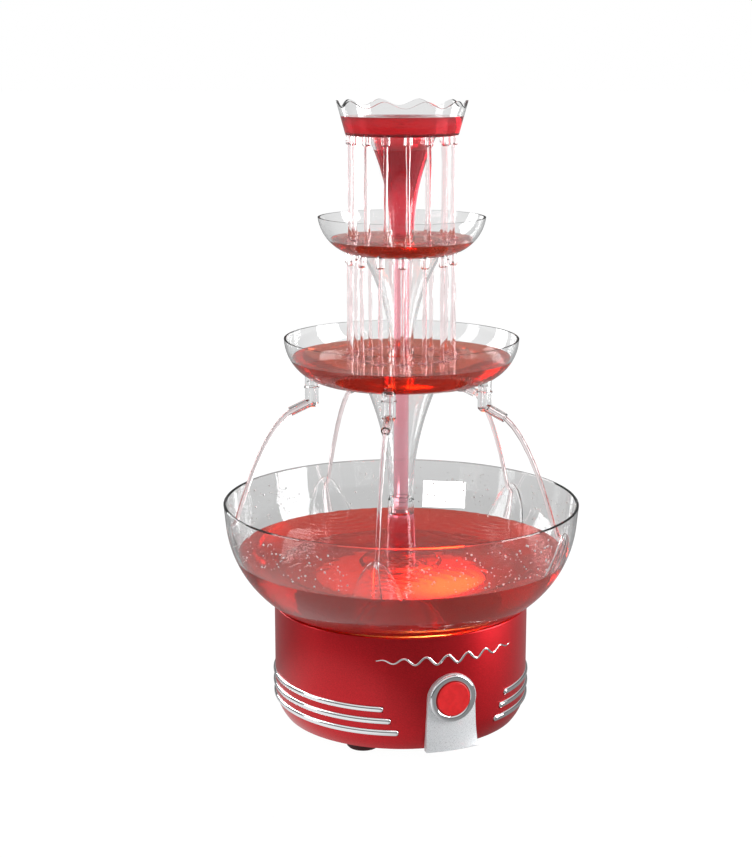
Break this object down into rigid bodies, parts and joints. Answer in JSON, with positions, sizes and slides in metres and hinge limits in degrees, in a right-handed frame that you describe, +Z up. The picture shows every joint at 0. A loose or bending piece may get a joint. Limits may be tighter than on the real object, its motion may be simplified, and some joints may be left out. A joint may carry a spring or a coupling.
{
  "type": "drinks fountain",
  "caption": "Tiered drinks fountain with a lit motor base, a clear punch bowl, clear trumpet columns, swivel spouts and a scalloped crown.",
  "frame": {"origin": "centre of the four feet, on the surface that the fountain stands on", "axes": "+Z up along the tower, -Y towards the push button, +X to the right seen from the front"},
  "size_m": [0.3557, 0.3558, 0.6214],
  "materials": {
    "red_housing": "candy metallic red lacquer on moulded ABS",
    "red_button": "smooth moulded red plastic",
    "dark_foot": "matte moulded rubber, dark maroon",
    "black_plastic": "fine moulded texture",
    "chrome_trim": "bright plating",
    "silver_bezel": "satin silver",
    "steel": "plain machined",
    "motor_steel": "zinc-plated sheet",
    "white_plastic": "natural moulded",
    "magnet": "sintered, dark grey",
    "bronze": "sintered bronze",
    "copper_core": "laminated core with copper windings",
    "board_green": "coated circuit board",
    "lamp_clear": "clear epoxy dome",
    "frosted_lens": "frosted translucent",
    "clear_plastic": "clear, polished moulding",
    "red_drink": "clear red drink, a liquid",
    "pink_streams": "thin streams of the red drink, a liquid"
  },
  "bodies": {
    "base": {"base_housing": "red_housing", "bottom_cover": "black_plastic", "cover_screws": "steel", "foot_front_right": "dark_foot", "foot_rear_right": "dark_foot", "foot_rear_left": "dark_foot", "foot_front_left": "dark_foot", "trim_right_lower": "chrome_trim", "trim_right_middle": "chrome_trim", "trim_right_upper": "chrome_trim", "trim_left_lower": "chrome_trim", "trim_left_middle": "chrome_trim", "trim_left_upper": "chrome_trim", "front_bezel": "silver_bezel", "button_ring": "chrome_trim", "button_spring": "steel", "switch_plate": "black_plastic", "switch_screws": "steel", "switch_body": "black_plastic", "cord_grommet": "black_plastic", "motor_bracket": "motor_steel", "bracket_screws": "steel", "motor_can": "motor_steel", "motor_end_cap": "white_plastic", "field_magnets": "magnet", "upper_bush": "bronze", "lower_bush": "bronze", "lamp_board": "board_green", "lamps": "lamp_clear", "light_lens": "frosted_lens"},
    "power_button": {"power_button": "red_button"},
    "rotor": {"motor_shaft": "steel", "armature": "copper_core", "drive_hub": "white_plastic", "drive_magnets": "magnet"},
    "main_bowl": {"main_bowl": "clear_plastic", "impeller_pin": "steel", "drink_in_bowl": "red_drink"},
    "impeller": {"impeller": "white_plastic", "impeller_magnet": "magnet"},
    "riser": {"pump_cover": "clear_plastic", "riser_tube": "clear_plastic"},
    "lower_tower": {"lower_column": "clear_plastic", "lower_supply_tube": "clear_plastic", "lower_tier": "clear_plastic", "drink_in_lower_tier": "red_drink"},
    "spout_front": {"spout_front": "clear_plastic"},
    "spout_right": {"spout_right": "clear_plastic"},
    "spout_rear_right": {"spout_rear_right": "clear_plastic"},
    "spout_rear_left": {"spout_rear_left": "clear_plastic"},
    "spout_left": {"spout_left": "clear_plastic"},
    "upper_tower": {"upper_column": "clear_plastic", "upper_supply_tube": "clear_plastic", "upper_tier": "clear_plastic", "drink_in_upper_tier": "red_drink", "streams_from_upper_tier": "pink_streams"},
    "crown": {"crown_stem": "clear_plastic", "crown_cup": "clear_plastic", "drink_in_crown": "red_drink", "streams_from_crown": "pink_streams"}
  },
  "joints": [
    {"name": "button_press", "type": "slide", "parent": "base", "child": "power_button", "axis": [0, 1, 0], "range_m": [0, 0.003], "stiffness_N_per_m": 250, "springref_m": -0.002, "deforming": ["button_spring"]},
    {"name": "motor_spin", "type": "hinge", "parent": "base", "child": "rotor", "pos_m": [0, 0, 0.09], "axis": [0, 0, 1], "continuous": true},
    {"name": "bowl_lift", "type": "slide", "parent": "base", "child": "main_bowl", "axis": [0, 0, 1], "range_m": [0, 0.06]},
    {"name": "impeller_spin", "type": "hinge", "parent": "main_bowl", "child": "impeller", "pos_m": [0, 0, 0.13], "axis": [0, 0, 1], "continuous": true},
    {"name": "riser_lift", "type": "slide", "parent": "main_bowl", "child": "riser", "axis": [0, 0, 1], "range_m": [0, 0.03], "deforming": ["drink_in_bowl"]},
    {"name": "lower_tower_lift", "type": "slide", "parent": "riser", "child": "lower_tower", "axis": [0, 0, 1], "range_m": [0, 0.03]},
    {"name": "spout_front_swivel", "type": "hinge", "parent": "lower_tower", "child": "spout_front", "pos_m": [-0.04475, -0.07751, 0.346], "axis": [0, 0, 1], "range_deg": [-40, 40]},
    {"name": "spout_right_swivel", "type": "hinge", "parent": "lower_tower", "child": "spout_right", "pos_m": [0.05989, -0.06651, 0.346], "axis": [0, 0, 1], "range_deg": [-40, 40]},
    {"name": "spout_rear_right_swivel", "type": "hinge", "parent": "lower_tower", "child": "spout_rear_right", "pos_m": [0.08176, 0.0364, 0.346], "axis": [0, 0, 1], "range_deg": [-40, 40]},
    {"name": "spout_rear_left_swivel", "type": "hinge", "parent": "lower_tower", "child": "spout_rear_left", "pos_m": [-0.00936, 0.08901, 0.346], "axis": [0, 0, 1], "range_deg": [-40, 40]},
    {"name": "spout_left_swivel", "type": "hinge", "parent": "lower_tower", "child": "spout_left", "pos_m": [-0.08754, 0.01861, 0.346], "axis": [0, 0, 1], "range_deg": [-40, 40]},
    {"name": "upper_tower_lift", "type": "slide", "parent": "lower_tower", "child": "upper_tower", "axis": [0, 0, 1], "range_m": [0, 0.03], "deforming": ["streams_from_upper_tier"]},
    {"name": "crown_lift", "type": "slide", "parent": "upper_tower", "child": "crown", "axis": [0, 0, 1], "range_m": [0, 0.03], "deforming": ["streams_from_crown"]}
  ],
  "couplings": [
    {"joint": "impeller_spin", "follows": "motor_spin", "ratio": 1}
  ]
}
